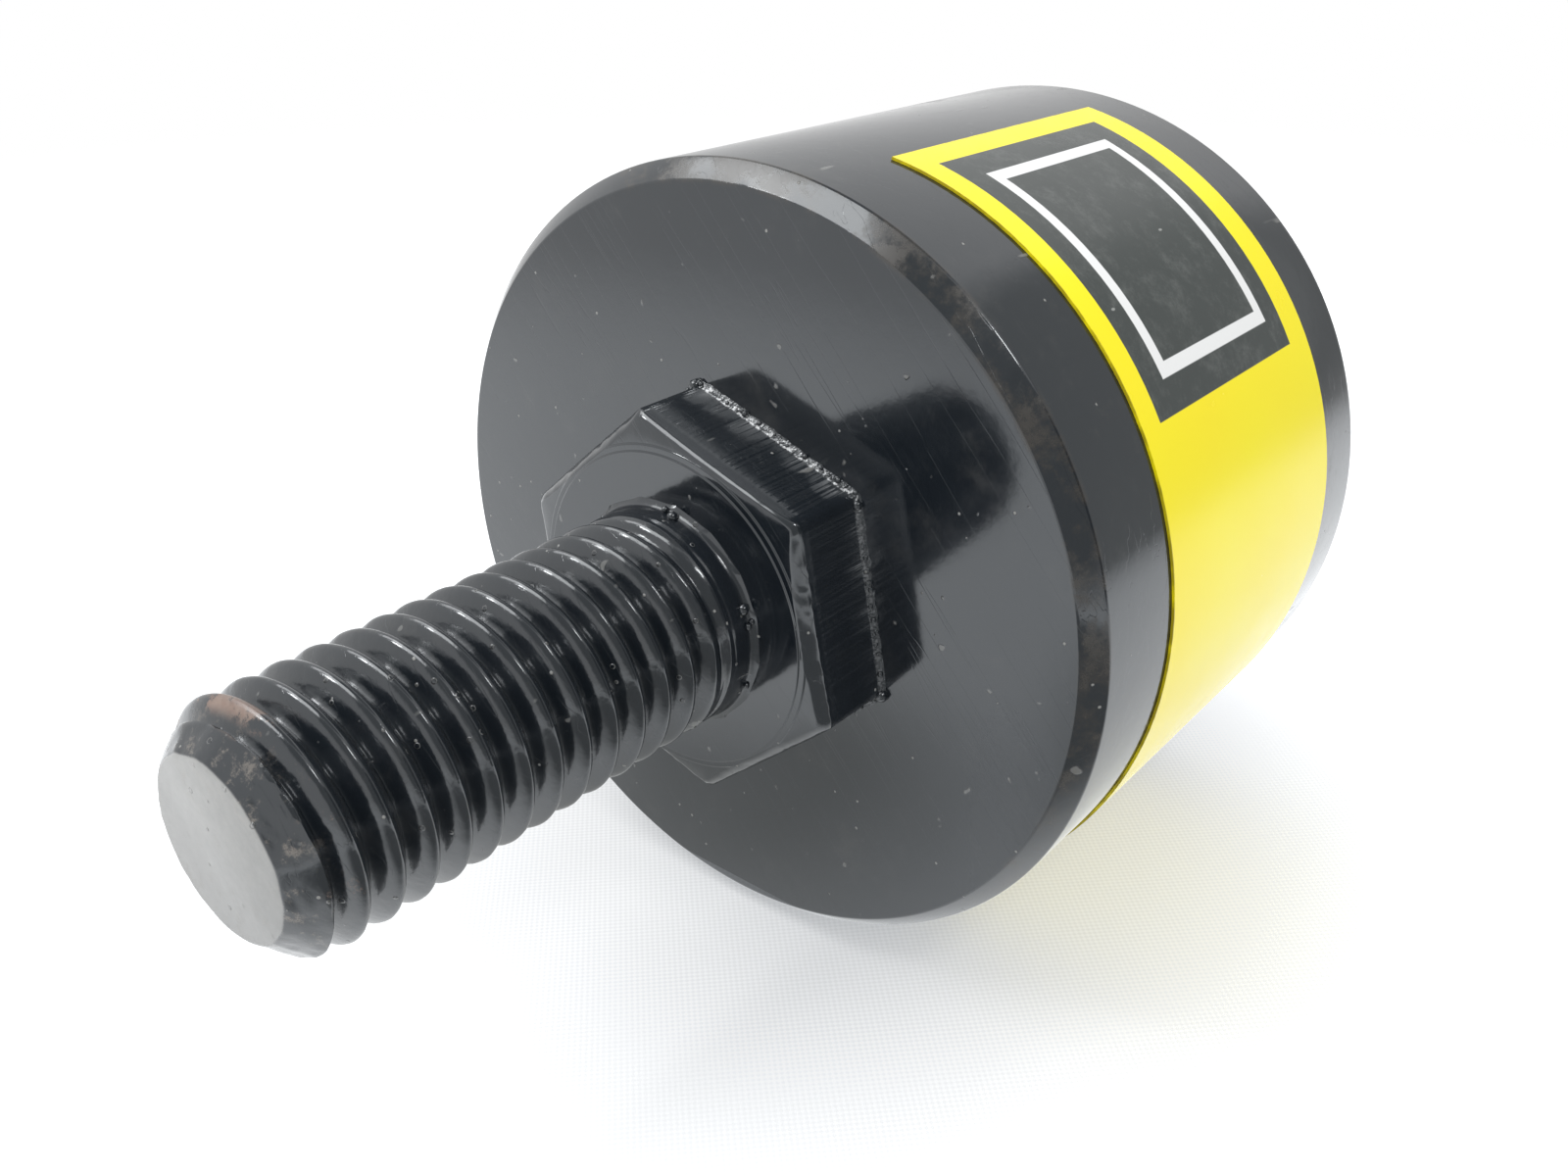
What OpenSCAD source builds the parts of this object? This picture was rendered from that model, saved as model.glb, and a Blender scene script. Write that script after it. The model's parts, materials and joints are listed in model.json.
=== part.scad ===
// Heavy-duty ball transfer unit with a threaded stud.
// A load ball rolls on a bed of small balls in a hardened race, inside a turned steel housing.
// Origin: centre of the hexagon's shoulder, the face that seats on the machine frame.
// +Z points to the load ball and -Z along the stud. Sizes are in millimetres.

/* [Load ball and its bed] */
// Diameter of the load ball
load_ball_d = 25.4; // [19:0.1:31]
// Diameter of each small support ball
support_ball_d = 4.76; // [3:0.01:6]
// Running gap of a support ball to the race, and to the load ball
ball_clear = 0.05; // [0.02:0.01:0.1]
// Gap between neighbouring support balls
ball_gap = 0.06; // [0.02:0.01:0.3]

/* [Race cup] */
// Wall of the race cup at the height of the ball's centre
race_wall = 1.44; // [1:0.01:3]
// Thickness of the race cup under the ball
race_floor = 2.74; // [1.5:0.01:5]
// Gap all round between the housing's bore and the pieces fitted in it
bore_fit = 0.01; // [0:0.01:0.05]

/* [Housing] */
// Wall of the housing round its bore
housing_wall = 3.5; // [3:0.1:8]
// Thickness of the housing's base, under the race cup
base_t = 7; // [5:0.5:15]
// Height of the housing's rim above the centre of the load ball
rim_rise = 6.2; // [5:0.1:8]
// Chamfer of the base's edge, across
base_chamfer_w = 1; // [0.2:0.1:2]
// Chamfer of the base's edge, along the axis
base_chamfer_h = 1.1; // [0.2:0.1:2]
// Radius that rounds the rim's outer edge
rim_round = 1.2; // [0.3:0.1:2]
// Chamfer inside the mouth of the bore
mouth_chamfer = 0.5; // [0.1:0.1:0.8]

/* [Hexagon and stud] */
// Hexagon's size across its flats
hex_af = 19; // [16:1:24]
// Thickness of the hexagon
hex_h = 5.3; // [3:0.1:10]
// Slope of the hexagon's corner chamfer, in degrees
hex_slope = 10; // [5:1:45]
// Where that chamfer starts, as a share of the size across flats
hex_flat = 0.95; // [0.85:0.01:1]
// Diameter of the stud, over its thread
stud_d = 12; // [8:1:16]
// Length of the stud below the shoulder
stud_len = 26.5; // [15:0.5:60]
// Chamfer of the stud's tip, 45 degrees
tip_chamfer = 1.75; // [0.5:0.05:2.5]
// Diameter of the spigot that is pressed into the housing's base
spigot_d = 14; // [8:1:18]
// Gap all round between the spigot and its hole
spigot_fit = 0.01; // [0:0.01:0.05]
// How far the spigot stops short of the race cup
spigot_short = 0.5; // [0.2:0.1:2]
// Chamfer of the spigot's end
spigot_chamfer = 0.6; // [0.2:0.1:1]

/* [Retaining ring] */
// Gap between the ring's inside and the load ball
ring_clear = 0.4; // [0.2:0.05:0.8]
// How far the ring reaches below the centre of the load ball
ring_skirt = 1.2; // [0.5:0.1:2]
// How far the ring's top lies below the housing's rim
ring_recess = 0.2; // [0:0.1:1]
// Chamfer of the ring's top edge
ring_chamfer = 0.6; // [0.2:0.1:1]
// Gap between the ring's collar and the circlip's ears
collar_clear = 0.35; // [0.2:0.05:1]

/* [Felt wiper] */
// Height of the felt
felt_h = 2.2; // [1.5:0.1:3]
// How much wider than the ring's inside the felt's groove is, on the radius
felt_depth = 2; // [1:0.1:2.5]
// Metal left above the felt's groove, below the circlip's seat
felt_roof = 0.3; // [0.2:0.1:1]
// Gap between the felt and the load ball
felt_clear = 0.1; // [0.05:0.05:0.3]
// Gap between the felt and its groove
felt_fit = 0.05; // [0:0.05:0.2]

/* [Circlip] */
// Thickness of the circlip
clip_t = 1.5; // [1:0.1:2.5]
// Radial width of the circlip opposite its ears
clip_w = 3.6; // [2:0.1:4]
// Depth of the circlip's groove in the housing
groove_depth = 1.25; // [0.5:0.05:1.5]
// Play of the circlip in its groove, above and below
groove_play = 0.05; // [0.02:0.01:0.2]
// Gap between the circlip's outer edge and the bottom of its groove
clip_fit = 0.02; // [0:0.01:0.1]
// How far the top of the circlip lies below the rim
clip_recess = 1.6; // [1:0.1:3]
// How far the ears reach in from the circlip's outer edge
ear_reach = 5.3; // [4:0.1:6]
// Diameter of the plier holes in the ears
ear_hole_d = 2.5; // [1.5:0.1:3]
// Angle between the centres of the two ears, in degrees
ear_angle = 24; // [20:1:40]
// Width of the gap between the ears
ear_gap = 2.4; // [1:0.1:5]
// Metal round each plier hole
ear_wall = 1; // [0.5:0.1:1.5]

/* [Label] */
// Thickness of the label
label_t = 0.15; // [0.1:0.05:0.5]
// Gap that the adhesive fills under the label
label_glue = 0.02; // [0.01:0.01:0.1]
// Bare paint between the base's face and the label
label_low = 7.5; // [2:0.1:12]
// Width of the label along the axis
label_w = 20.5; // [5:0.5:22]
// Direction of the label's start, in degrees round the axis
label_start = -127.7; // [-180:0.1:180]
// Length of the label round the housing
label_len = 60; // [20:1:120]

/* [Hidden] */
$fn = 128;
eps = 0.01;

load_ball_r = load_ball_d / 2;
support_ball_r = support_ball_d / 2;
orbit_r = load_ball_r + ball_clear + support_ball_r;
race_r = orbit_r + support_ball_r + ball_clear;
bore_r = race_r + race_wall;
housing_r = bore_r + housing_wall;

base_z = hex_h;
floor_z = base_z + base_t;
ball_z = floor_z + race_floor + race_r;
rim_z = ball_z + rim_rise;

clip_top_z = rim_z - clip_recess;
seat_z = clip_top_z - clip_t;
ring_low_z = ball_z - ring_skirt;
clip_r = bore_r + groove_depth - clip_fit;
collar_r = clip_r - ear_reach - collar_clear;
ear_r = ear_hole_d / 2 + ear_wall;
ear_centre_r = clip_r - ear_reach + ear_r;

felt_top_z = seat_z - felt_roof;
felt_low_z = felt_top_z - felt_h;
felt_groove_r = load_ball_r + ring_clear + felt_depth;

// The top row of support balls stays below the retaining ring.
row_step = asin((support_ball_d + ball_gap) / orbit_r);
top_row_angle = acos((support_ball_r + ring_skirt + ball_gap) / orbit_r);
row_count = floor(top_row_angle / row_step);

hex_corner_r = hex_af / 2 / cos(30);
hex_flat_r = hex_af / 2 * hex_flat;

label_r = housing_r + label_glue;
label_angle = label_len / (2 * PI * label_r) * 360;

function balls_in_row(row_r) = row_r < eps
    ? 1
    : floor(180 / asin((support_ball_d + ball_gap) / 2 / row_r) + eps);

module housing_outline() {
    difference() {
        union() {
            translate([0, base_z])
                square([housing_r, rim_z - base_z - rim_round]);
            translate([0, base_z])
                square([housing_r - rim_round, rim_z - base_z]);
            translate([housing_r - rim_round, rim_z - rim_round])
                circle(r = rim_round);
        }
        polygon([
            [housing_r - base_chamfer_w, base_z],
            [housing_r + eps, base_z - eps],
            [housing_r + eps, base_z + base_chamfer_h]
        ]);
    }
}

module bore_outline() {
    translate([0, floor_z])
        square([bore_r, rim_z - floor_z + eps]);
    translate([0, seat_z - groove_play])
        square([bore_r + groove_depth, clip_t + 2 * groove_play]);
    polygon([
        [0, rim_z - mouth_chamfer],
        [bore_r, rim_z - mouth_chamfer],
        [bore_r + mouth_chamfer + eps, rim_z + eps],
        [0, rim_z + eps]
    ]);
}

module spigot_hole_outline() {
    translate([0, base_z - eps])
        square([spigot_d / 2 + spigot_fit, base_t + 2 * eps]);
}

// Turned cup, with a groove for the circlip near its mouth.
module housing() {
    color([0.05, 0.05, 0.055])
        rotate_extrude()
            difference() {
                housing_outline();
                bore_outline();
                spigot_hole_outline();
            }
}

// Cone that takes the corners off the hexagon's shoulder side.
module hex_corner_cone() {
    cylinder(
        r1 = hex_flat_r,
        r2 = hex_flat_r + (hex_h + eps) / tan(hex_slope),
        h = hex_h + eps
    );
}

// The plain cylinder stands for the thread, at its full diameter.
module stud_shaft() {
    translate([0, 0, tip_chamfer - stud_len])
        cylinder(d = stud_d, h = stud_len - tip_chamfer + eps);
    translate([0, 0, -stud_len])
        cylinder(d1 = stud_d - 2 * tip_chamfer, d2 = stud_d, h = tip_chamfer);
}

module spigot() {
    spigot_h = base_t - spigot_short;
    translate([0, 0, base_z - eps])
        cylinder(d = spigot_d, h = spigot_h - spigot_chamfer + eps);
    translate([0, 0, base_z + spigot_h - spigot_chamfer])
        cylinder(d1 = spigot_d, d2 = spigot_d - 2 * spigot_chamfer, h = spigot_chamfer);
}

// One turned piece: hexagon collar, stud below it, and a spigot above it in the housing's base.
module fixing_stud() {
    color([0.06, 0.06, 0.065]) {
        intersection() {
            rotate([0, 0, 30])
                cylinder(r = hex_corner_r, h = hex_h, $fn = 6);
            hex_corner_cone();
        }
        stud_shaft();
        spigot();
    }
}

// Hardened seat with a hemispherical track, open upwards.
module race_cup() {
    color([0.62, 0.62, 0.64])
        difference() {
            translate([0, 0, floor_z])
                cylinder(r = bore_r - bore_fit, h = ring_low_z - floor_z);
            translate([0, 0, ball_z])
                sphere(r = race_r);
        }
}

// Rows of small balls, one at the bottom and each next row a ball's width further up the race.
module support_balls() {
    color([0.75, 0.75, 0.77])
        translate([0, 0, ball_z])
            for (row = [0 : row_count]) {
                row_r = orbit_r * sin(row * row_step);
                count = balls_in_row(row_r);
                for (i = [0 : count - 1])
                    rotate([0, 0, (i + row / 2) * 360 / count])
                        translate([row_r, 0, -orbit_r * cos(row * row_step)])
                            sphere(d = support_ball_d);
            }
}

module load_ball() {
    color([0.8, 0.8, 0.82])
        translate([0, 0, ball_z])
            sphere(d = load_ball_d);
}

module ring_outline() {
    collar_top_z = rim_z - ring_recess;
    translate([0, ring_low_z])
        square([bore_r - bore_fit, seat_z - ring_low_z]);
    translate([0, seat_z - eps])
        square([collar_r, collar_top_z - ring_chamfer - seat_z + eps]);
    polygon([
        [0, collar_top_z - ring_chamfer],
        [collar_r, collar_top_z - ring_chamfer],
        [collar_r - ring_chamfer, collar_top_z],
        [0, collar_top_z]
    ]);
}

// Ring whose spherical inside closes over the load ball above its centre.
module retaining_ring() {
    color([0.5, 0.5, 0.52])
        difference() {
            rotate_extrude()
                difference() {
                    ring_outline();
                    translate([0, felt_low_z])
                        square([felt_groove_r, felt_h]);
                }
            translate([0, 0, ball_z])
                sphere(r = load_ball_r + ring_clear);
        }
}

// Felt ring that wipes the load ball clean.
module felt_wiper() {
    color([0.55, 0.5, 0.42])
        difference() {
            translate([0, 0, felt_low_z + felt_fit])
                cylinder(r = felt_groove_r - felt_fit, h = felt_h - 2 * felt_fit);
            translate([0, 0, ball_z])
                sphere(r = load_ball_r + felt_clear);
        }
}

module circlip_band() {
    difference() {
        circle(r = clip_r);
        translate([clip_w * 0.2, 0])
            circle(r = clip_r - clip_w * 0.8);
    }
}

// A round ear on a stem that runs out to the band.
module circlip_ear() {
    translate([ear_centre_r, 0])
        circle(r = ear_r);
    intersection() {
        translate([ear_centre_r, -ear_r])
            square([ear_reach, 2 * ear_r]);
        circle(r = clip_r);
    }
}

module circlip_outline() {
    difference() {
        union() {
            circlip_band();
            for (side = [-1, 1])
                rotate(side * ear_angle / 2)
                    circlip_ear();
        }
        translate([0, -ear_gap / 2])
            square([clip_r + eps, ear_gap]);
        for (side = [-1, 1])
            rotate(side * ear_angle / 2)
                translate([ear_centre_r, 0])
                    circle(d = ear_hole_d);
    }
}

// Internal spring ring: wider opposite its ears, where it bends least.
module circlip() {
    color([0.2, 0.2, 0.21])
        translate([0, 0, seat_z])
            linear_extrude(clip_t)
                circlip_outline();
}

// Printed wrap stuck round the housing.
module label() {
    color([0.98, 0.8, 0.05])
        rotate([0, 0, label_start])
            rotate_extrude(angle = label_angle)
                translate([label_r, base_z + label_low])
                    square([label_t, label_w]);
}

housing();
fixing_stud();
race_cup();
support_balls();
load_ball();
retaining_ring();
felt_wiper();
circlip();
label();
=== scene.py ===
# %% [markdown]
# # Ball transfer unit with a threaded stud
#
# A ball transfer unit carries a load on one big ball, which rolls on a bed of small balls inside
# a turned steel cup. The packed part already says how big each piece is and where it sits. This
# notebook gives every surface its real finish: glossy black enamel, a paint-filled thread, a
# printed wrap and bright bearing steel. It starts by loading the packed part.

# %% Load the packed part
import json
import math
import random

import bmesh
import bpy
from mathutils import Matrix, Vector, noise


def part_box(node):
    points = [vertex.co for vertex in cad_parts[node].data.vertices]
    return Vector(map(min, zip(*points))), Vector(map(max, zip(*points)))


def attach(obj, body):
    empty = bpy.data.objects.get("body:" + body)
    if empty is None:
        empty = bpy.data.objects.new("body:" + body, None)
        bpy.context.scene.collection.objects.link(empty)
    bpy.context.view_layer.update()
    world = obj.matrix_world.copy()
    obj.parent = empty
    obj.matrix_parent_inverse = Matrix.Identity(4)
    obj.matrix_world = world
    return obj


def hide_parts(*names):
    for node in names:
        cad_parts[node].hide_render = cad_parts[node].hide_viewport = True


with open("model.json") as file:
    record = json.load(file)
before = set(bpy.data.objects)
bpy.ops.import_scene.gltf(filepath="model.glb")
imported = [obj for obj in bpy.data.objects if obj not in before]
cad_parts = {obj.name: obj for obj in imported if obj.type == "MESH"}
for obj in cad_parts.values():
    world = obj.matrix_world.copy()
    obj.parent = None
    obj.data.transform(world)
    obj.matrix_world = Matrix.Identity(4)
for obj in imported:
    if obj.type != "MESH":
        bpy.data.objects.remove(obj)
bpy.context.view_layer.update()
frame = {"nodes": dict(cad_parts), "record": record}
MM = 0.001

# %% [markdown]
# ## Sizes from the packed part
#
# Typing sizes in again would let the looks drift away from the part. Each size is measured on the
# packed nodes instead: a box gives heights and radii, and the corner points of a turned node give
# the radius that it has at one height.

# %% Measure the packed part


def radii_at(node, height, within=0.01 * MM):
    """Distances from the axis of a node's points that lie at one height."""
    points = [v.co for v in frame["nodes"][node].data.vertices]
    return [math.hypot(p.x, p.y) for p in points if abs(p.z - height) < within]


housing_low, housing_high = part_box("housing")
base_z, rim_z, housing_r = housing_low.z, housing_high.z, housing_high.x
face_r = max(radii_at("housing", base_z))
hole_r = min(radii_at("housing", base_z))

stud_low, stud_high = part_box("fixing_stud")
tip_z, flat_r = stud_low.z, stud_high.x
tip_r = max(radii_at("fixing_stud", tip_z))
mounts = {mount["name"]: mount for mount in frame["record"]["mounts"]}
stud_r = mounts["stud"]["dims"]["r_mm"] * MM
shoulder_r = max(radii_at("fixing_stud", 0))

race_low, race_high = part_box("race_cup")
floor_z, bore_r = race_low.z, race_high.x

ball_low, ball_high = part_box("load_ball")
ball_centre, ball_r = (ball_low + ball_high) / 2, (ball_high.z - ball_low.z) / 2

for name, value in (("housing", housing_r), ("stud", stud_r), ("ball", ball_r)):
    print(f"{name} radius {value / MM:.2f} mm")

# %% [markdown]
# ## Camera
#
# The unit lies on its side and is seen from the stud's end, from close by, so the stud looms
# large. A camera can be aimed by angles or by a point to look at. Looking at a point is easier to
# change later, and the floor's own up direction then keeps the horizon level.

# %% Camera
camera_place = Vector((3.5, -58.9, -48.1)) * MM
looked_at = Vector((2.0, -1.8, 6.5)) * MM
lying_side = math.radians(40.7)
floor_up = Vector((-math.cos(lying_side), -math.sin(lying_side), 0))

look = (looked_at - camera_place).normalized()
across = look.cross(floor_up).normalized()
turn = Matrix((across, across.cross(look), -look)).transposed()

camera = bpy.data.objects.new("camera", bpy.data.cameras.new("camera"))
camera.data.lens = 32.8
camera.data.clip_start = 1 * MM
camera.matrix_world = Matrix.Translation(camera_place) @ turn.to_4x4()
bpy.context.scene.collection.objects.link(camera)
bpy.context.scene.camera = camera
print("camera looks along", [round(x, 2) for x in look])

# %% [markdown]
# Lamps and cards are easiest to place as seen from the camera: so many degrees to the right of
# straight ahead, and so many above the floor. World axes would do too, but they say nothing about
# which side of the view a lamp lights.

# %% Directions from the camera
ahead = (look - look.dot(floor_up) * floor_up).normalized()


def towards(bearing, elevation):
    """A direction, from degrees to the right of straight ahead and degrees above the floor."""
    level = Matrix.Rotation(math.radians(-bearing), 3, floor_up) @ ahead
    up_by = math.radians(elevation)
    return level * math.cos(up_by) + floor_up * math.sin(up_by)


print("right of the camera", [round(x, 2) for x in towards(90, 0)])

# %% [markdown]
# ## Node helpers
#
# Every finish below is a small network of nodes. Making each node and wiring it takes three lines
# of Python, so these helpers fold them into one call that reads like a formula.

# %% Node helpers


class Finish:
    """A material, with short ways to add the nodes of its pattern."""

    def __init__(self, name, **sockets):
        self.material = bpy.data.materials.new(name)
        self.material.use_nodes = True
        self.tree = self.material.node_tree
        self.shader = self.tree.nodes["Principled BSDF"]
        for socket, value in sockets.items():
            self.shader.inputs[socket.replace("_", " ")].default_value = value
        self.place = self.node("ShaderNodeTexCoord").outputs["Object"]

    def node(self, kind, inputs=None, **settings):
        made = self.tree.nodes.new(kind)
        for key, value in settings.items():
            setattr(made, key, value)
        for key, value in (inputs or {}).items():
            self.wire(value, made.inputs[key])
        return made

    def wire(self, value, socket):
        if isinstance(value, bpy.types.NodeSocket):
            self.tree.links.new(value, socket)
        else:
            socket.default_value = value

    def math(self, operation, a, b=0.0):
        return self.node("ShaderNodeMath", {0: a, 1: b}, operation=operation).outputs[0]

    def times(self, a, b):
        return self.math("MULTIPLY", a, b)

    def plus(self, a, b):
        return self.math("ADD", a, b)

    def ramp(self, value, low, high):
        """0 below low and 1 above high, with a soft step between them. low may be the larger."""
        inputs = {"Value": value, "From Min": low, "From Max": high}
        return self.node("ShaderNodeMapRange", inputs, interpolation_type="SMOOTHSTEP").outputs[0]

    def noise(self, size, detail=3.0, roughness=0.5, place=None):
        """Soft noise whose lumps are about size across, in metres."""
        inputs = {"Vector": place or self.place, "Scale": 1 / size}
        inputs.update({"Detail": detail, "Roughness": roughness})
        return self.node("ShaderNodeTexNoise", inputs).outputs["Fac"]

    def spots(self, spacing, size, share, place=None):
        """1 inside small round spots that lie about spacing apart, in a share of the places."""
        inputs = {"Vector": place or self.place, "Scale": 1 / spacing}
        cells = self.node("ShaderNodeTexVoronoi", inputs)
        inside = self.ramp(cells.outputs["Distance"], size / spacing, 0.6 * size / spacing)
        dice = self.node("ShaderNodeSeparateColor", {0: cells.outputs["Color"]}).outputs[0]
        return self.times(inside, self.math("LESS_THAN", dice, share))

    def squeezed(self, scale, turn=(0, 0, 0), place=None):
        """The place, turned and scaled, which stretches a pattern along its smallest scale."""
        inputs = {"Vector": place or self.place, "Rotation": turn, "Scale": scale}
        return self.node("ShaderNodeMapping", inputs).outputs[0]

    def parts(self, place=None):
        """X, Y and Z of the place."""
        return self.node("ShaderNodeSeparateXYZ", {0: place or self.place}).outputs

    def from_axis(self):
        """Distance from the Z axis."""
        x, y, _ = self.parts()
        squares = self.plus(self.times(x, x), self.times(y, y))
        return self.math("SQRT", squares)

    def along(self, direction):
        """How far the place lies along a direction from the origin."""
        inputs = {0: self.place, 1: tuple(direction)}
        return self.node("ShaderNodeVectorMath", inputs, operation="DOT_PRODUCT").outputs["Value"]

    def distance(self, point):
        """How far the place lies from a point."""
        inputs = {0: self.place, 1: tuple(point)}
        return self.node("ShaderNodeVectorMath", inputs, operation="DISTANCE").outputs["Value"]

    def mixed(self, factor, a, b):
        """Colour a where factor is 0 and colour b where it is 1."""
        made = self.node("ShaderNodeMix", data_type="RGBA")
        for index, value in ((0, factor), (6, a), (7, b)):
            self.wire(value, made.inputs[index])
        return made.outputs[2]

    def between(self, factor, a, b):
        """Number a where factor is 0 and number b where it is 1."""
        made = self.node("ShaderNodeMix", {2: a, 3: b}, data_type="FLOAT")
        self.wire(factor, made.inputs[0])
        return made.outputs[0]

    def bumped(self, height, depth, strength=1.0):
        """Bumps of that depth in metres, added on top of those already there."""
        inputs = {"Height": height, "Distance": depth, "Strength": strength}
        before = self.shader.inputs["Normal"]
        if before.is_linked:
            inputs["Normal"] = before.links[0].from_socket
        self.wire(self.node("ShaderNodeBump", inputs).outputs[0], before)

    def coat(self, base, rough=None):
        """Sends the base colour, and the roughness if there is one, into the shader."""
        self.wire(base, self.shader.inputs["Base Color"])
        if rough is not None:
            self.wire(rough, self.shader.inputs["Roughness"])


def colour(red, green, blue):
    return (red, green, blue, 1.0)


print("a finish can", [name for name in vars(Finish) if not name.startswith("_")])

# %% [markdown]
# ## Studio
#
# The unit lies on its side on a pale woven cloth under soft light. The weave could be modelled
# thread by thread, but two sine waves across each other look the same from this far. The cloth
# also glows, more so away from the unit, because close by a real unit keeps light off its table.
# Reflections see the cloth a little darker on the left than on the right.

# %% Cloth finish
MIDDLE = Vector((0, 0, rim_z / 2))
FLOOR_MIDDLE = MIDDLE - floor_up * housing_r
THREAD_GAP = 0.45 * MM
GLOW_FROM, GLOW_TO = 18 * MM, 52 * MM
SHEEN_FROM, SHEEN_TO = -12 * MM, 25 * MM
NEAR_GLOW, FAR_GLOW = 0.42, 0.88
LEFT_SHEEN, RIGHT_SHEEN = 0.82, 1.0
FADE_FROM, FADE_TO = 0.10, 0.30

cloth = Finish("white_cloth", Roughness=1.0, Specular_IOR_Level=0.0)
cloth.shader.inputs["Emission Color"].default_value = colour(0.94, 0.97, 1.0)
weave = 1.0
for thread_way in (Vector((0, 0, 1)), floor_up.cross(Vector((0, 0, 1)))):
    wave = cloth.math("SINE", cloth.times(cloth.along(thread_way), math.tau / THREAD_GAP))
    weave = cloth.times(weave, wave)
weave = cloth.ramp(weave, -0.6, 0.6)
cloth.coat(cloth.mixed(weave, colour(0.48, 0.48, 0.48), colour(0.58, 0.58, 0.58)))

rays = cloth.node("ShaderNodeLightPath").outputs
from_middle = cloth.distance(FLOOR_MIDDLE)
glow = cloth.between(cloth.ramp(from_middle, GLOW_FROM, GLOW_TO), NEAR_GLOW, FAR_GLOW)
in_view = cloth.times(rays["Is Camera Ray"], glow)
to_right = cloth.ramp(cloth.along(towards(90, 0)), SHEEN_FROM, SHEEN_TO)
sheen = cloth.between(to_right, LEFT_SHEEN, RIGHT_SHEEN)
in_gloss = cloth.times(rays["Is Glossy Ray"], sheen)
cloth.wire(cloth.plus(in_view, in_gloss), cloth.shader.inputs["Emission Strength"])

front = cloth.math("SUBTRACT", 1.0, cloth.node("ShaderNodeNewGeometry").outputs["Backfacing"])
fade = cloth.ramp(from_middle, FADE_TO, FADE_FROM)
cloth.wire(cloth.times(fade, front), cloth.shader.inputs["Alpha"])
print("cloth woven at", round(THREAD_GAP / MM, 2), "mm")

# %% [markdown]
# A real backdrop could curve up behind the unit. Here the floor is a disc that fades out into a
# white world, so no edge or horizon shows. Its back lets everything through, because other views
# look at the unit from behind the floor.

# %% Floor
FLOOR_R = 0.40

floor_mesh = bmesh.new()
bmesh.ops.create_circle(floor_mesh, cap_ends=True, segments=96, radius=FLOOR_R)
tilt = floor_up.to_track_quat("Z", "Y").to_matrix().to_4x4()
floor_place = Matrix.Translation(FLOOR_MIDDLE) @ tilt
bmesh.ops.transform(floor_mesh, matrix=floor_place, verts=floor_mesh.verts)
floor_data = bpy.data.meshes.new("floor")
floor_mesh.to_mesh(floor_data)
floor_mesh.free()
floor_data.materials.append(cloth.material)
floor = bpy.data.objects.new("floor", floor_data)
bpy.context.scene.collection.objects.link(floor)
print("floor touches the housing", round(housing_r / MM, 1), "mm from its axis")

# %% [markdown]
# The world gives even light from all round, a little under full strength. Together with the lamps
# it lights a surface so that its colour comes out about as it is written. Seen directly, or in
# gloss, the world is plain white. A modelled room could stand in its place, but plain white can
# be tuned with two numbers.

# %% World
WORLD_LIGHT, WORLD_SHOWN = 0.88, 1.0

world = bpy.data.worlds.new("studio")
bpy.context.scene.world = world
world.use_nodes = True
tree = world.node_tree
tree.nodes.clear()
path = tree.nodes.new("ShaderNodeLightPath").outputs
shown = path["Is Camera Ray"]
for ray in ("Is Glossy Ray", "Is Transmission Ray"):
    either = tree.nodes.new("ShaderNodeMath")
    either.operation = "MAXIMUM"
    tree.links.new(shown, either.inputs[0])
    tree.links.new(path[ray], either.inputs[1])
    shown = either.outputs[0]
mix = tree.nodes.new("ShaderNodeMixShader")
tree.links.new(shown, mix.inputs[0])
for socket, strength in ((1, WORLD_LIGHT), (2, WORLD_SHOWN)):
    background = tree.nodes.new("ShaderNodeBackground")
    background.inputs["Color"].default_value = colour(1, 1, 1)
    background.inputs["Strength"].default_value = strength
    tree.links.new(background.outputs[0], mix.inputs[socket])
tree.links.new(mix.outputs[0], tree.nodes.new("ShaderNodeOutputWorld").inputs[0])
print("world lights with", WORLD_LIGHT, "and shows as", WORLD_SHOWN)

# %% [markdown]
# Over the unit's left side hang two soft boxes, with a small bright lamp just below them. A
# fourth lamp, also small, hangs behind the camera. Lamps without size would leave hard points in
# the gloss, so each is a square: a broad one draws a soft patch in the enamel and a small one a
# crisp streak.

# %% Lamps


def soft_box(name, direction, away, size, radiance):
    """A square lamp that faces the middle of the unit, looking as bright as its radiance."""
    lamp = bpy.data.lights.new(name, "AREA")
    lamp.size = size
    lamp.energy = radiance * math.pi * size * size
    made = bpy.data.objects.new(name, lamp)
    place = MIDDLE + direction * away
    aim = (MIDDLE - place).to_track_quat("-Z", "Y").to_matrix().to_4x4()
    made.matrix_world = Matrix.Translation(place) @ aim
    bpy.context.scene.collection.objects.link(made)
    print(name, round(lamp.energy, 3), "W")


soft_box("top_box", towards(-102, 62), 0.30, 0.15, 3.6)
soft_box("bulb", towards(-98, 47), 0.29, 0.034, 22.0)
soft_box("side_box", towards(-66, 50), 0.30, 0.11, 2.9)
soft_box("small_box", towards(148, 52), 0.30, 0.05, 14.0)

# %% [markdown]
# Gloss shows its surroundings, and in an all-white room black enamel looks grey and steel looks
# like paper. A studio stands dark cards round such things. These are seen in reflections only, so
# they take no light away. Each has its own grey and fades out towards its edge, because the gloss
# would show a hard one.

# %% Grey cards
CARD_AWAY = 0.35
CARD_LIFT = 1.5 * MM


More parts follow.
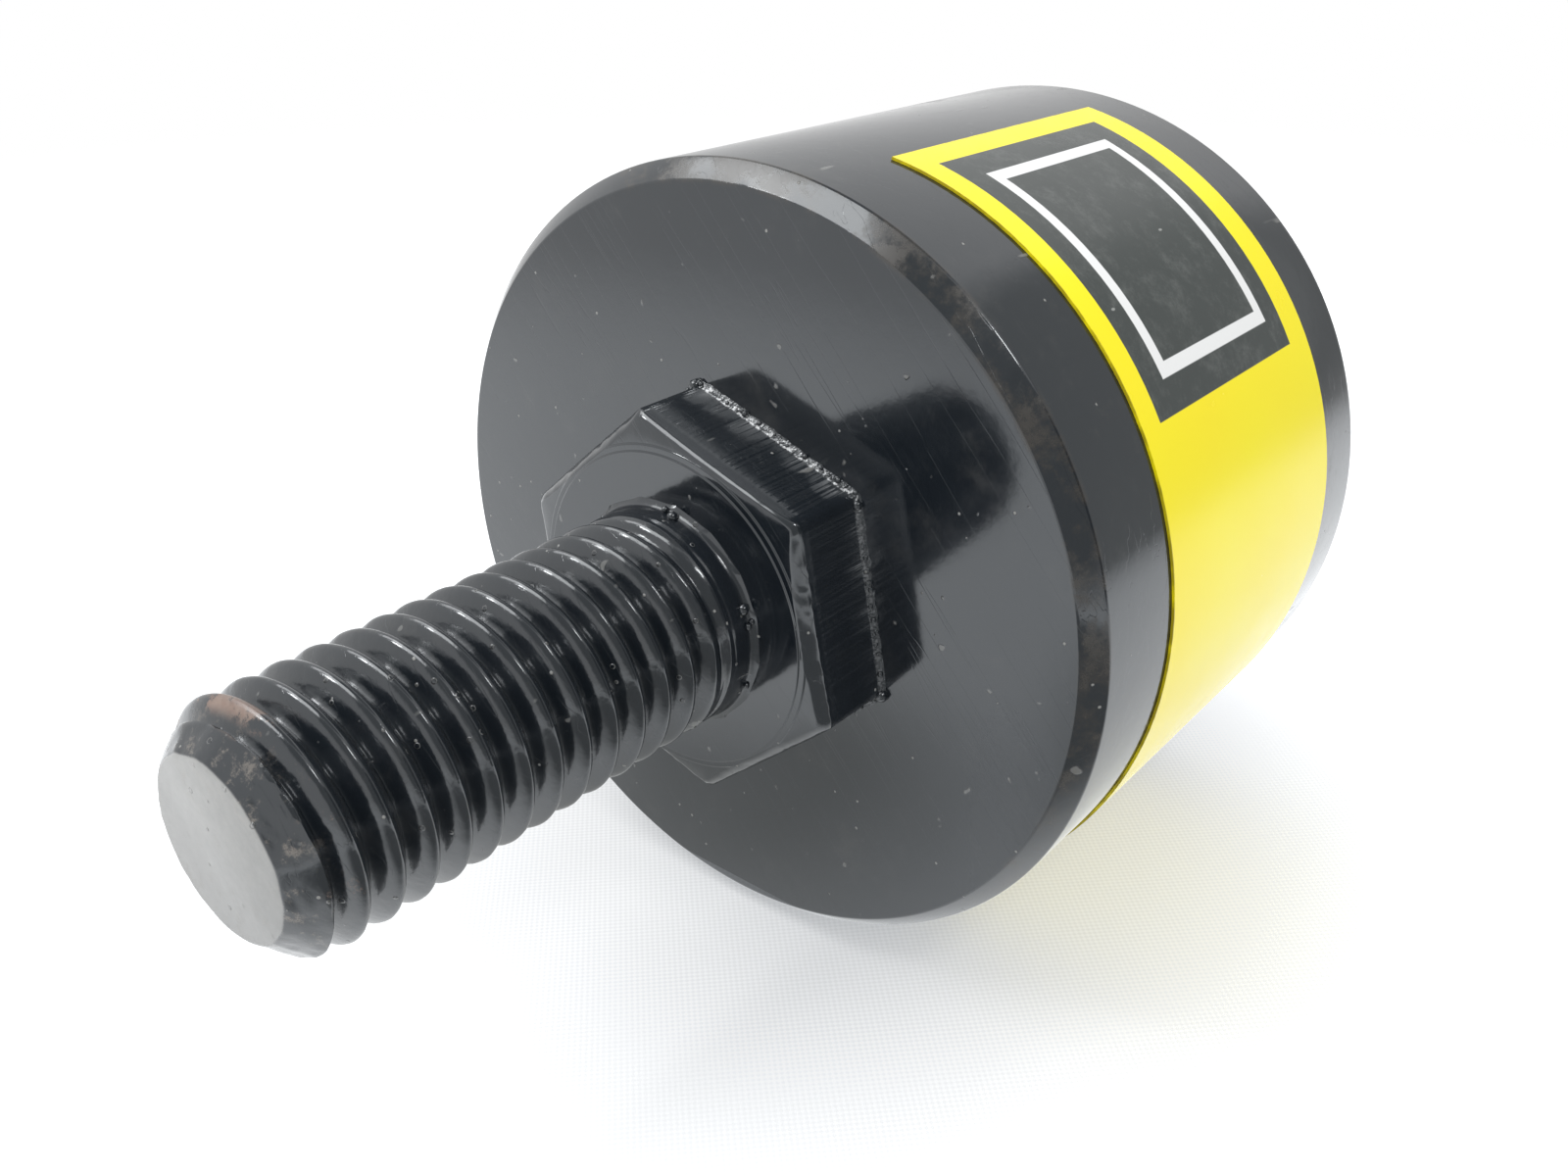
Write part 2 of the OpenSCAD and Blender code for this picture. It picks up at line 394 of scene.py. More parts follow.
def card(name, direction, radius, grey, away=CARD_AWAY, lying=False, full=0.7):
    """A round card that faces the unit, or lies just above the floor, and reflects as that grey.

    It fades out from the full share of its radius to its edge.
    """
    direction = direction.normalized()
    centre = MIDDLE + direction * away
    if lying:
        direction = -floor_up
        centre -= floor_up * (housing_r - CARD_LIFT)
    finish = Finish(name, Base_Color=colour(0, 0, 0), Roughness=1.0, Specular_IOR_Level=0.0)
    finish.shader.inputs["Emission Color"].default_value = colour(grey * 0.98, grey, grey * 0.99)
    finish.shader.inputs["Emission Strength"].default_value = 1.0
    fade = finish.ramp(finish.distance(centre), radius, radius * full)
    finish.wire(fade, finish.shader.inputs["Alpha"])
    bm = bmesh.new()
    bmesh.ops.create_circle(bm, cap_ends=True, segments=48, radius=radius)
    aim = (-direction).to_track_quat("Z", "Y").to_matrix().to_4x4()
    bmesh.ops.transform(bm, matrix=Matrix.Translation(centre) @ aim, verts=bm.verts)
    mesh = bpy.data.meshes.new(name)
    bm.to_mesh(mesh)
    bm.free()
    mesh.materials.append(finish.material)
    made = bpy.data.objects.new(name, mesh)
    made.visible_camera = made.visible_diffuse = made.visible_shadow = False
    bpy.context.scene.collection.objects.link(made)


card("card_right", towards(80, 20), 0.25, 0.50)
card("card_behind_camera", towards(165, 24), 0.24, 0.36)
card("card_above_camera", towards(-170, 46), 0.20, 0.42)
card("card_beside_camera", towards(128, 22), 0.15, 0.14)
card("card_overhead", towards(15, 77), 0.19, 0.40)
card("card_on_floor", towards(167, 0), 0.064, 0.36, away=0.087, lying=True)
card("card_under_face", towards(-125, 0), 0.024, 0.72, away=0.023, lying=True, full=0.2)
card("card_front", Vector((0.66, -0.70, 0.1)), 0.18, 0.14, full=0.3)
card("card_over_ball", Vector((0.05, 0.05, 1.0)), 0.26, 0.16, full=0.0)

# %% [markdown]
# ## Black enamel
#
# The cup, the hexagon and the stud are dipped or sprayed in thick gloss enamel. Nearly all that
# is seen of it is reflection, so the colour matters less than the gloss. The paint has a slight
# orange peel, greyish smears, specks of dust and lint, and some hairline scratches. A coat layer
# over a matt black would also shine. A high index of refraction gives the same strong, glassy
# reflection with fewer values, and leaves the black itself as dark as it is.

# %% Enamel finish
ENAMEL_IOR = 1.8


def enamel(name, smears=1.0):
    """Gloss black paint with orange peel, haze, dust and hairlines, and more or less smeared."""
    paint = Finish(name, IOR=ENAMEL_IOR, Specular_Tint=colour(0.95, 0.98, 1.0))
    haze = paint.noise(9 * MM, detail=6, roughness=0.62)
    fine = paint.noise(1.2 * MM, detail=4)
    black = paint.mixed(haze, colour(0.005, 0.008, 0.011), colour(0.013, 0.016, 0.021))
    smear = paint.ramp(paint.noise(5 * MM, detail=9, roughness=0.75), 0.52, 0.74)
    smear = paint.times(smear, smears)
    black = paint.mixed(smear, black, colour(0.027, 0.029, 0.031))
    dust = paint.spots(1.1 * MM, 0.10 * MM, 0.34)
    lint = paint.noise(0.9 * MM, detail=1, place=paint.squeezed((1, 1, 0.25)))
    specks = paint.math("MAXIMUM", dust, paint.times(paint.ramp(lint, 0.75, 0.80), 0.5))
    paint.base = paint.mixed(specks, black, colour(0.26, 0.26, 0.25))
    rough = paint.plus(paint.between(haze, 0.06, 0.14), paint.times(smear, 0.07))
    paint.rough = paint.plus(rough, paint.times(specks, 0.4))
    scratch_place = paint.squeezed((0.04, 1, 1), turn=(0.3, 0.9, 0.6))
    band = paint.math("SUBTRACT", paint.noise(1.4 * MM, place=scratch_place), 0.5)
    scratch = paint.ramp(paint.math("ABSOLUTE", band), 0.006, 0.0)
    paint.bumped(fine, 0.012 * MM, 0.5)
    paint.bumped(scratch, -0.004 * MM, 0.5)
    paint.bumped(specks, 0.02 * MM)
    return paint


head_on = ((ENAMEL_IOR - 1) / (ENAMEL_IOR + 1)) ** 2
print("enamel reflects", round(head_on, 3), "of light head on")

# %% [markdown]
# ## Pieces from a bmesh
#
# Most pieces of the unit are turned on a lathe. A bmesh, which is Blender's mesh for editing,
# becomes a real object here: it takes its finish, rides on a body of the part and stands for a
# packed node. Pieces whose packed shape is right already only take a finish.

# %% Piece helpers


def piece(name, bm, finish, body, node, sharp=35):
    """Turns a bmesh into a finished piece on a body, standing for a node."""
    bmesh.ops.recalc_face_normals(bm, faces=bm.faces)
    mesh = bpy.data.meshes.new(name)
    bm.to_mesh(mesh)
    bm.free()
    mesh.materials.append(finish.material)
    mesh.shade_smooth()
    mesh.set_sharp_from_angle(angle=math.radians(sharp))
    made = bpy.data.objects.new(name, mesh)
    bpy.context.scene.collection.objects.link(made)
    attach(made, body)
    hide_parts(node)
    print(name, len(mesh.polygons), "faces")


def finished(node, finish):
    """Gives a packed node, whose shape is right, its real finish."""
    mesh = frame["nodes"][node].data
    mesh.materials.clear()
    mesh.materials.append(finish.material)
    print(node, "keeps its shape and takes", finish.material.name)


# %% [markdown]
# ## Housing
#
# The housing is a cup turned from bar and painted. Its chamfer is the edge that hits things
# first, so the paint there is rubbed thin and a little rust shows, most of all on one side. The
# side is scuffed all over. Wear could be painted on by hand, but two soft noises, each kept to
# its own place by radius and height, need no texture file.

# %% Housing finish
WEAR_FROM, WEAR_FULL = face_r - 0.3 * MM, face_r + 0.1 * MM
WORST_SIDE_Y = -14 * MM

housing_paint = enamel("enamel_on_housing")
radius = housing_paint.from_axis()
_, y, z = housing_paint.parts()

on_chamfer = housing_paint.times(
    housing_paint.ramp(radius, WEAR_FROM, WEAR_FULL),
    housing_paint.ramp(z, base_z + 1.5 * MM, base_z + 1.0 * MM),
)
worst_side = housing_paint.between(housing_paint.ramp(y, 0.0, WORST_SIDE_Y), 0.0, 0.14)
patches = housing_paint.noise(4.5 * MM, detail=8, roughness=0.75)
patches = housing_paint.ramp(housing_paint.plus(patches, worst_side), 0.58, 0.72)
knocked = housing_paint.times(on_chamfer, patches)
housing_paint.base = housing_paint.mixed(
    housing_paint.times(knocked, 0.5), housing_paint.base, colour(0.055, 0.042, 0.028)
)
scuffed = housing_paint.ramp(housing_paint.noise(7 * MM, detail=9, roughness=0.8), 0.56, 0.70)
scuffed = housing_paint.times(scuffed, housing_paint.ramp(radius, face_r, housing_r))
housing_paint.base = housing_paint.mixed(
    housing_paint.times(scuffed, 0.5), housing_paint.base, colour(0.050, 0.050, 0.045)
)
worn_rough = housing_paint.times(housing_paint.math("MAXIMUM", knocked, scuffed), 0.20)
housing_paint.rough = housing_paint.plus(housing_paint.rough, worn_rough)
housing_paint.coat(housing_paint.base, housing_paint.rough)
print("chamfer wear starts", round(WEAR_FROM / MM, 2), "mm from the axis")

# %% [markdown]
# The housing is turned on a lathe, and a spin of its outline does the same here. A cylinder with
# pieces cut out of it would need clean-up at every cut. The outline has a flat face with a hole
# for the stud's spigot, a wide chamfer, a plain side and, inside, a groove for the spring ring.

# %% Housing shape
LATHE_STEPS = 192
SAME_PLACE, TINY = 0.01 * MM, 0.001 * MM
CHAMFER_H, MOUTH_CHAMFER = 1.1 * MM, 0.5 * MM
GROOVE_PLAY, GROOVE_GAP, WALL_GAP = 0.05 * MM, 0.02 * MM, 0.01 * MM

clip_low, clip_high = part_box("circlip")
groove_low, groove_high = clip_low.z - GROOVE_PLAY, clip_high.z + GROOVE_PLAY
groove_r = clip_high.y + GROOVE_GAP
chamfer_z = base_z + CHAMFER_H
wall_r = bore_r + WALL_GAP
mouth_corners = (wall_r + MOUTH_CHAMFER, rim_z), (wall_r, rim_z - MOUTH_CHAMFER)
outline = [
    (hole_r, base_z), (face_r, base_z), (housing_r, chamfer_z), (housing_r, rim_z),
    *mouth_corners, (wall_r, groove_high), (groove_r, groove_high),
    (groove_r, groove_low), (wall_r, groove_low), (wall_r, floor_z), (hole_r, floor_z),
]

housing = bmesh.new()
verts = [housing.verts.new((r, 0, z)) for r, z in outline]
edges = [housing.edges.new(pair) for pair in zip(verts, verts[1:] + verts[:1])]
bmesh.ops.spin(
    housing, geom=verts + edges, axis=(0, 0, 1), angle=math.tau, steps=LATHE_STEPS, use_merge=True
)
bmesh.ops.remove_doubles(housing, verts=housing.verts, dist=TINY)
bmesh.ops.recalc_face_normals(housing, faces=housing.faces)
print("outline of", len(outline), "corners spun in", LATHE_STEPS, "steps")

# %% [markdown]
# No turned edge is perfectly sharp, and the paint softens it a little more. Each edge gets a
# narrow bevel, which also catches the light, and the rim a wide round one. A bevel modifier would
# take all edges by their angle. Choosing rings by their radius and height gives each its own
# width.

# %% Softened edges
RIM_ROUND, FACE_SOFT, MOUTH_SOFT = 1.2 * MM, 0.10 * MM, 0.08 * MM


def rings(bm, *corners):
    """The edges that run round the axis at one of those corners of (radius, height)."""
    def at_corner(vert):
        vert_r = math.hypot(vert.co.x, vert.co.y)
        return any(
            abs(vert_r - r) < SAME_PLACE and abs(vert.co.z - z) < SAME_PLACE for r, z in corners
        )

    def level(edge):
        return abs(edge.verts[0].co.z - edge.verts[1].co.z) < TINY

    return [e for e in bm.edges if all(at_corner(v) for v in e.verts) and level(e)]


def soften(bm, edges, width, segments=3):
    bmesh.ops.bevel(
        bm, geom=edges, offset=width, offset_type="OFFSET", segments=segments, profile=0.5,
        affect="EDGES", material=-1, clamp_overlap=True,
    )


soften(housing, rings(housing, (housing_r, rim_z)), RIM_ROUND, 8)
soften(housing, rings(housing, (face_r, base_z), (housing_r, chamfer_z)), FACE_SOFT)
soften(housing, rings(housing, *mouth_corners), MOUTH_SOFT)
piece("housing_shell", housing, housing_paint, "unit", "housing")

# %% [markdown]
# ## Stud
#
# Nuts scrape the end of a stud, so near the tip the paint is rubbed off the crests and the steel
# has rusted, worst round one dent. This could be a second material with its own faces, but the
# border would then follow the faces. A mask of noise, height and radius lets the paint chip
# freely.

# %% Rust and rubbed paint
DENT = Vector((-4.6 * MM, -3.6 * MM, tip_z + 2.3 * MM))
DENT_R, DENT_WORST_R = 2.6 * MM, 0.8 * MM

stud_paint = enamel("enamel_on_stud")
_, _, z = stud_paint.parts()
radius = stud_paint.from_axis()

near_tip = stud_paint.ramp(z, tip_z + 3.6 * MM, tip_z + 1.0 * MM)
proud = stud_paint.ramp(radius, stud_r - 0.75 * MM, stud_r - 0.15 * MM)
dented = stud_paint.ramp(stud_paint.distance(DENT), DENT_R, DENT_WORST_R)
dented = stud_paint.between(dented, 0.0, 0.22)
patches = stud_paint.plus(stud_paint.noise(1.2 * MM, detail=8, roughness=0.75), dented)
patches = stud_paint.ramp(patches, 0.57, 0.70)
rust = stud_paint.times(patches, stud_paint.times(near_tip, proud))
rust_tone = stud_paint.mixed(
    stud_paint.noise(0.5 * MM, detail=5), colour(0.17, 0.050, 0.018), colour(0.46, 0.36, 0.29)
)
stud_paint.base = stud_paint.mixed(rust, stud_paint.base, rust_tone)
rubbed = stud_paint.ramp(stud_paint.noise(0.9 * MM, detail=8, roughness=0.75), 0.53, 0.66)
rubbed = stud_paint.times(rubbed, stud_paint.ramp(z, tip_z + 2.6 * MM, tip_z + 0.3 * MM))
stud_paint.base = stud_paint.mixed(
    stud_paint.times(rubbed, 0.75), stud_paint.base, colour(0.20, 0.175, 0.15)
)
print("rust is worst", round((DENT.z - tip_z) / MM, 1), "mm from the tip")

# %% [markdown]
# The end face has lost nearly all its paint and shows dull steel. Further up, small bubbles stand
# in the paint, and their rims get a painted highlight, a paler grey in the colour. The rims come
# from the bubbles' own soft edge, times its inverse, which is only bright halfway.

# %% Bare end and bubbles
end_face = stud_paint.ramp(z, tip_z + 0.12 * MM, tip_z + 0.04 * MM)
worn = stud_paint.between(stud_paint.noise(1.6 * MM, detail=8, roughness=0.8), 0.5, 1.1)
bare = stud_paint.times(end_face, worn)
stud_paint.base = stud_paint.mixed(bare, stud_paint.base, colour(0.43, 0.43, 0.42))
stud_paint.rough = stud_paint.plus(stud_paint.rough, 0.05)
rough = stud_paint.plus(stud_paint.rough, stud_paint.times(rust, 0.4))
rough = stud_paint.plus(rough, stud_paint.times(rubbed, 0.15))
stud_paint.rough = stud_paint.plus(rough, stud_paint.times(bare, 0.28))
bubbles = stud_paint.spots(1.0 * MM, 0.15 * MM, 0.4)
# The pale bubble rims are a painted highlight, where the rims would catch the light.
rim_highlights = stud_paint.times(bubbles, stud_paint.math("SUBTRACT", 1.0, bubbles))
stud_paint.base = stud_paint.mixed(
    stud_paint.times(rim_highlights, 2.2), stud_paint.base, colour(0.20, 0.20, 0.19)
)
stud_paint.bumped(bubbles, 0.05 * MM)
stud_paint.bumped(stud_paint.noise(0.45 * MM, detail=2), 0.03 * MM, 0.4)
stud_paint.coat(stud_paint.base, stud_paint.rough)
print("stud paint has", len(stud_paint.tree.nodes), "nodes")

# %% [markdown]
# The hexagon's sides were milled along the axis, and the fine lines still show through the
# enamel. A noise that is stretched hard along the axis draws such lines, which a texture file
# would only repeat. They stay off the flat front. In the seam at the foot of the hexagon the
# paint is rough, and pale specks are painted into its colour as glints. This painted highlight is
# strongest on the uppermost side, where the lamps fall.

# %% Hexagon finish
hex_paint = enamel("enamel_on_hexagon", smears=0.3)
_, _, z = hex_paint.parts()
milled = hex_paint.noise(0.20 * MM, detail=1, place=hex_paint.squeezed((1, 1, 0.02)))
on_sides = hex_paint.ramp(z, 1.0 * MM, 1.4 * MM)
seam = hex_paint.ramp(z, base_z - 0.30 * MM, base_z - 0.12 * MM)
hex_paint.bumped(hex_paint.times(milled, on_sides), 0.055 * MM, 0.75)
hex_paint.bumped(hex_paint.times(hex_paint.noise(0.22 * MM), seam), 0.08 * MM)
# Pale specks in the seam are a painted highlight: glints, strongest on the uppermost side, where
# the lamps fall.
seam_glints = hex_paint.ramp(hex_paint.noise(0.20 * MM, detail=2), 0.50, 0.58)
seam_glints = hex_paint.times(seam_glints, hex_paint.ramp(z, base_z - 0.38 * MM, base_z - 0.26 * MM))
seam_glints = hex_paint.times(seam_glints, hex_paint.ramp(z, base_z - 0.04 * MM, base_z - 0.12 * MM))
lit_top_side = hex_paint.along((-0.5, -math.sin(math.radians(60)), 0))
lit_top_side = hex_paint.ramp(lit_top_side, flat_r - 0.9 * MM, flat_r - 0.1 * MM)
seam_glints = hex_paint.times(seam_glints, hex_paint.between(lit_top_side, 0.15, 1.0))
hex_paint.coat(hex_paint.mixed(seam_glints, hex_paint.base, colour(0.50, 0.51, 0.52)), hex_paint.rough)
print("hexagon is", round(2 * flat_r / MM, 2), "mm across its flats")

# %% [markdown]
# The stud has a coarse right-hand thread that the enamel has half filled: its crests are broad
# and round, its roots deep and narrow. A thread is one outline carried round and along the axis,
# which is what spin does when it also moves a little at each step. Spinning every turn is slow,
# so one turn is spun and copies of it, a pitch apart, make the rest.

# %% Thread
PITCH = 1.75 * MM
STEPS_A_TURN = 120
OUTLINE_POINTS = 16
THREAD_DEPTH = 0.96 * MM
ROOT = 0.06
STARTS_EARLY = 1.3


def clamped(value, low, high):
    """0 at low and before it, 1 at high and beyond it, and even steps between."""
    return min(1.0, max(0.0, (value - low) / (high - low)))


def eased(share):
    """The same way from 0 to 1, with a soft start and a soft end."""
    return share * share * (3 - 2 * share)


def depth_at(share):
    """Depth below the crest, at a share of the way from one crest to the next."""
    down = min(1.0, (1 - abs(2 * share - 1)) / (1 - ROOT))
    return THREAD_DEPTH * (0.65 * down**1.8 + 0.35 * eased(down))


thread = bmesh.new()
first = tip_z - PITCH * STARTS_EARLY
shares = [i / OUTLINE_POINTS for i in range(OUTLINE_POINTS + 1)]
points = [
    thread.verts.new((stud_r - depth_at(share), 0, first + PITCH * share)) for share in shares
]
lines = [thread.edges.new(pair) for pair in zip(points, points[1:])]
turns = math.ceil((-first + PITCH) / PITCH)
bmesh.ops.spin(
    thread, geom=points + lines, axis=(0, 0, 1), angle=math.tau,
    steps=STEPS_A_TURN, dvec=(0, 0, PITCH / STEPS_A_TURN),
)
one_turn = thread.verts[:] + thread.edges[:] + thread.faces[:]
for turn in range(1, turns):
    copied = bmesh.ops.duplicate(thread, geom=one_turn)["geom"]
    copied = [g for g in copied if isinstance(g, bmesh.types.BMVert)]
    bmesh.ops.translate(thread, vec=(0, 0, PITCH * turn), verts=copied)
bmesh.ops.remove_doubles(thread, verts=thread.verts, dist=0.004 * MM)
print("turns", turns, "from", STEPS_A_TURN, "steps a turn")

# %% [markdown]
# Before the hexagon the thread runs out into a plain shank with a few fine rings, and a small
# fillet joins the shank to the face. The tip has a turned chamfer whose crests are chipped. All
# of this could be cut with other solids. Moving each point of the thread in or out does it with
# no new edges.

# %% Run-out, chamfer and chips
RUN_OUT_FROM, RUN_OUT_TO, RUN_OUT_LOW = -2.9 * MM, -1.7 * MM, 0.03 * MM
RINGS_FROM, RINGS_FULL, RINGS_TO = -3.6 * MM, -2.8 * MM, -1.3 * MM
RING_GAP, RING_DEPTH = 0.42 * MM, 0.05 * MM
TIP_CHAMFER, LOWEST_TURNED = 1.75 * MM, -0.8 * MM
SHANK_FILLET = 0.45 * MM


def lumps(place, size, depth):
    """A bump or a dip of up to that depth, from noise whose lumps are that size."""
    return depth * noise.noise(place / size)


for vert in thread.verts:
    z = vert.co.z
    r = math.hypot(vert.co.x, vert.co.y)
    run_out = eased(clamped(z, RUN_OUT_FROM, RUN_OUT_TO))
    filled = r + (stud_r - RUN_OUT_LOW - r) * run_out
    chipped = lumps(vert.co, 1.8 * MM, 0.12 * MM) + lumps(vert.co, 0.6 * MM, 0.05 * MM)
    chamfer_slope = (stud_r - tip_r) / TIP_CHAMFER
    turned = tip_r + max(z - tip_z, LOWEST_TURNED) * chamfer_slope + chipped
    new_r = min(filled, turned) + lumps(vert.co, 0.8 * MM, 0.018 * MM)
    ringed = clamped(z, RINGS_FROM, RINGS_FULL) if z < RINGS_TO else 0.0
    ring_wave = (1 - math.cos(z / RING_GAP * math.tau)) / 2
    new_r = min(new_r, stud_r) - RING_DEPTH * ringed * ring_wave
    into_fillet = max(0.0, z + SHANK_FILLET)
    new_r += SHANK_FILLET - math.sqrt(max(0.0, SHANK_FILLET**2 - into_fillet**2))
    vert.co.x *= new_r / r
    vert.co.y *= new_r / r
print("thread has", len(thread.verts), "points")

# %% [markdown]
# The thread was spun too long at both ends. It is cut off square just above the tip and just
# inside the hexagon. The end face is then set in and pushed out to the tip's height, which leaves
# a small round all along its uneven edge, where a bevel would trip over the short chips.

# %% Cut ends
END_ROUND, END_INSET, SUNK = 0.12 * MM, 0.16 * MM, 0.3 * MM

for height, clear_outer in ((tip_z + END_ROUND, False), (SUNK, True)):
    bmesh.ops.bisect_plane(
        thread, geom=thread.verts[:] + thread.edges[:] + thread.faces[:], dist=0.0001 * MM,
        plane_co=(0, 0, height), plane_no=(0, 0, 1),
        clear_outer=clear_outer, clear_inner=not clear_outer,
    )
caps = bmesh.ops.holes_fill(thread, edges=[e for e in thread.edges if e.is_boundary])["faces"]
end_cap = [f for f in caps if f.calc_center_median().z < -1 * MM]
bmesh.ops.inset_region(thread, faces=end_cap, thickness=END_INSET, use_even_offset=True)
for vert in {v for f in end_cap for v in f.verts}:
    vert.co.z = tip_z
print("caps", len(caps), "of which at the tip", len(end_cap))
piece("stud_thread", thread, stud_paint, "unit", "fixing_stud", sharp=50)

# %% [markdown]
# ## Hexagon
#
# The hexagon's front is a turned round face, a hair proud, with two small steps round it. Outside
# it the corners fall back at a very shallow slope, and a wide soft break runs along every edge,
# filled with enamel. One side of the six has a much crisper edge. A six-sided prism with a bevel
# would miss all of this, so a disc is drawn out ring by ring instead. Every ring follows the
# hexagon's outline, which has a small round at each corner.

# %% Hexagon outline and front
CORNER_ROUND = 0.30 * MM
CORNER_SLOPE = math.tan(math.radians(7))
STEP, STEP_APART, STEP_WIDE = 0.07 * MM, 0.36 * MM, 0.08 * MM
EDGE_BREAK = 0.60 * MM
CRISP_SIDE, CRISP_BY = math.radians(240), 0.6
CRISP_FULL, CRISP_NONE = math.radians(25), math.radians(37)
HALF_SIDE = math.radians(30)
FACE_EDGE = flat_r - EDGE_BREAK - 0.10 * MM


def hexagon_r(angle):
    """Distance from the axis to the outline, which has a corner on the Y axis."""
    off = (angle - math.radians(90) + HALF_SIDE) % (2 * HALF_SIDE) - HALF_SIDE
    centre = (flat_r - CORNER_ROUND) / math.cos(HALF_SIDE)
    edge = math.atan2(CORNER_ROUND * 0.5, centre + CORNER_ROUND * math.cos(HALF_SIDE))
    if abs(off) < edge:
        return centre * math.cos(off) + math.sqrt(CORNER_ROUND**2 - (centre * math.sin(off)) ** 2)
    return flat_r / math.cos(HALF_SIDE - abs(off))


def corner_z(r):
    """Height of the front at a radius: a round face, two small steps, then the shallow slope."""
    step_edges = (FACE_EDGE, FACE_EDGE + STEP_APART)
    steps = sum(clamped(r, edge, edge + STEP_WIDE) for edge in step_edges)
    return STEP * steps + max(0.0, r - shoulder_r) * CORNER_SLOPE


def edge_break(angle):
    """How wide the broken edge is, which is much less on the crisp side."""
    off = abs((angle - CRISP_SIDE + math.pi) % math.tau - math.pi)
    near = eased(clamped(off, CRISP_NONE, CRISP_FULL))
    return EDGE_BREAK * (1 - CRISP_BY * near)


for name, angle in (("corner", math.radians(90)), ("side", math.radians(60))):
    print("hexagon", name, round(hexagon_r(angle) / MM, 2), "mm from the axis")

# %% [markdown]
# Three kinds of ring make the hexagon: rings on the turned steps, rings over the broken edge, and
# rings on the paint that pooled at the foot. Noise swells and shrinks the painted ones, because
# paint never runs evenly. Noise on the finished mesh would do it too, but would also bend the
# flat sides.

# %% Rings of the hexagon
SEAM_WIDE, SEAM_HIGH = 0.28 * MM, 0.36 * MM
INNERMOST_R, LAST_SHARP_Z = stud_r - 0.6 * MM, base_z - 2.2 * MM
KEPT_IN = 0.01 * MM
# Millimetres out from the round face's edge.
STEP_RINGS = (-0.02, 0.0, 0.04, 0.08, 0.10, 0.34, 0.36, 0.40, 0.44, 0.46)
# Shares of the edge's width: in from the side, and back from the face.
EDGE_RINGS = ((1.0, 0.0), (0.80, 0.05), (0.55, 0.22), (0.22, 0.55), (0.05, 0.80), (0.0, 1.0))
# Shares of the seam: out from the side, and up from the housing.
SEAM_RINGS = ((0.0, 1.0), (0.12, 0.82), (0.5, 0.45), (0.85, 0.15), (1.1, 0.0))


def paint_run(angle, height):
    """How much the paint swells or shrinks at an angle, about -1 to 1."""
    place = Vector((math.cos(angle), math.sin(angle), height))
    return 0.4 * noise.noise(place * 6) + 0.9 * noise.noise(place * 30)


def turned_ring(radius):
    """A ring on the turned face's steps, kept inside the broken edge."""
    def ring_r(a):
        return min(radius, hexagon_r(a) - edge_break(a) - KEPT_IN)
    return ring_r, lambda a, r: corner_z(r)


def edge_ring(inset, drop):
    """A ring on the broken edge, whose width paint swells and shrinks."""
    def ring_r(a):
        swell = 0.20 * paint_run(a, 5) if 0 < inset < 1 else 0.0
        return hexagon_r(a) - inset * edge_break(a) * (1 + swell)
    return ring_r, lambda a, r: corner_z(r) + drop * edge_break(a) * (1 + 0.24 * paint_run(a, 6))


def seam_ring(out, up):
    """A ring on the paint in the corner at the foot of the hexagon."""
    def ring_r(a):
        return hexagon_r(a) + SEAM_WIDE * out * (1 + 0.5 * paint_run(a, 3))
    return ring_r, lambda a, r: base_z - SEAM_HIGH * up * (1 + 0.35 * paint_run(a, up))


layers = [
    (lambda a: INNERMOST_R, lambda a, r: 0.0),
    *(turned_ring(FACE_EDGE + out * MM) for out in STEP_RINGS),
    *(edge_ring(*shares) for shares in EDGE_RINGS),
    (hexagon_r, lambda a, r: LAST_SHARP_Z),
    *(seam_ring(*shares) for shares in SEAM_RINGS),
]
print("hexagon has", len(layers), "rings")

# %% [markdown]
# Now the rings become a mesh. The innermost edge loop is extruded again and again, and each new
# loop is moved to the next ring's radius and height. A grid of points joined by hand would need
# its own bookkeeping of faces, which extruding does by itself.

# %% Hexagon shape
HEX_POINTS = 16 * 12


def place_ring(verts, radius_of, height_of):
    for vert in verts:
        angle = math.atan2(vert.co.y, vert.co.x)
        r = radius_of(angle)
        vert.co = (r * math.cos(angle), r * math.sin(angle), height_of(angle, r))


hexagon = bmesh.new()
bmesh.ops.create_circle(hexagon, segments=HEX_POINTS, radius=1.0)
edges = list(hexagon.edges)
place_ring(hexagon.verts, *layers[0])
for radius_of, height_of in layers[1:]:
    out = bmesh.ops.extrude_edge_only(hexagon, edges=edges)["geom"]
    edges = [g for g in out if isinstance(g, bmesh.types.BMEdge) and len(g.link_faces) == 1]
    place_ring({v for e in edges for v in e.verts}, radius_of, height_of)
bmesh.ops.holes_fill(hexagon, edges=[e for e in hexagon.edges if e.is_boundary])
bmesh.ops.recalc_face_normals(hexagon, faces=hexagon.faces)
piece("stud_hexagon", hexagon, hex_paint, "unit", "fixing_stud", sharp=60)

# %% [markdown]
# Where the enamel pooled round the foot of the hexagon and round the shank, it dried in small
# drops, which sparkle along the seam. Each drop is a tiny ball, half sunk in the paint below it.
# Bumps in the finish could stand for them, but would not show at the seam's outline.

# %% Paint drops
SEAM_DROPS, SHANK_DROPS = 230, 11

random.seed(7)
drops = bmesh.new()


def drop(angle, r, z, size):
    made = bmesh.ops.create_uvsphere(drops, u_segments=8, v_segments=5, radius=size)["verts"]
    place = (r * math.cos(angle), r * math.sin(angle), z)
    bmesh.ops.translate(drops, vec=place, verts=made)


